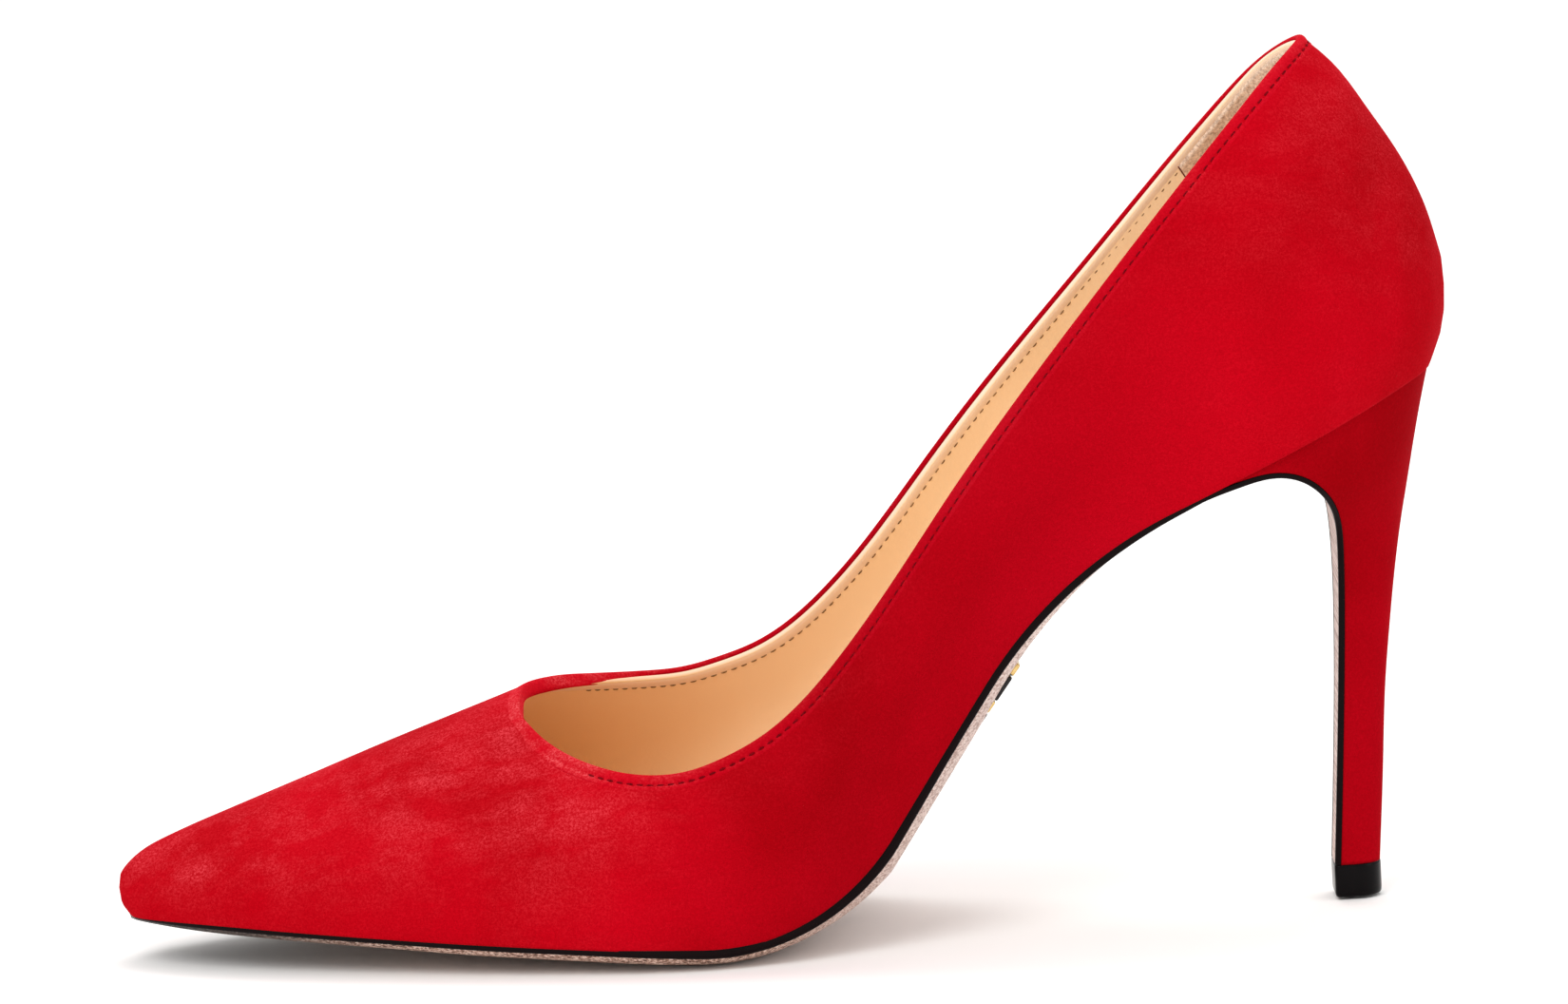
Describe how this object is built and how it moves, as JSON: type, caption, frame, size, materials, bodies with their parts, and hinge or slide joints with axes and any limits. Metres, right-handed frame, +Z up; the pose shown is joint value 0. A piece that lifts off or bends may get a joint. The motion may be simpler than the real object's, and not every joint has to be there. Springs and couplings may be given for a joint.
{
  "type": "high heel pump",
  "caption": "Pointed high heel pump in suede with a leather lining, a thin leather sole with a shaped waist and a slender covered heel on a top lift.",
  "frame": {"origin": "on the ground under the middle of the shoe's length and width", "axes": "+X from the toe to the heel, +Y towards the inner side of the foot, +Z up"},
  "size_m": [0.2374, 0.073, 0.1527],
  "materials": {
    "suede": "napped red suede",
    "tape": "woven tape",
    "stiffener": "resin stiffened fabric",
    "lining": "smooth beige lining leather",
    "grip": "textured, slightly metallic",
    "board": "fibre board",
    "steel": "plain steel",
    "filler": "cork and latex filler",
    "foam": "latex foam",
    "sock": "smooth beige sock leather",
    "sole_leather": "buffed sole leather with a black inked edge",
    "badge": "polished",
    "heel_plastic": "moulded",
    "lift_plastic": "moulded, polished side"
  },
  "bodies": {
    "root": {"upper": "suede", "topline_tape": "tape", "toe_puff": "stiffener", "heel_counter": "stiffener", "lining": "lining", "heel_grip": "grip", "insole_board": "board", "shank": "steel", "shank_rivet_front": "steel", "shank_rivet_rear": "steel", "bottom_filler": "filler", "sock_foam": "foam", "heel_pad": "foam", "sock_lining": "sock", "outsole": "sole_leather", "sole_badge": "badge", "heel_core": "heel_plastic", "heel_cover": "suede", "heel_tube": "steel", "heel_screw": "steel", "heel_nails": "steel", "top_lift": "lift_plastic", "top_lift_pin": "steel"}
  },
  "joints": []
}
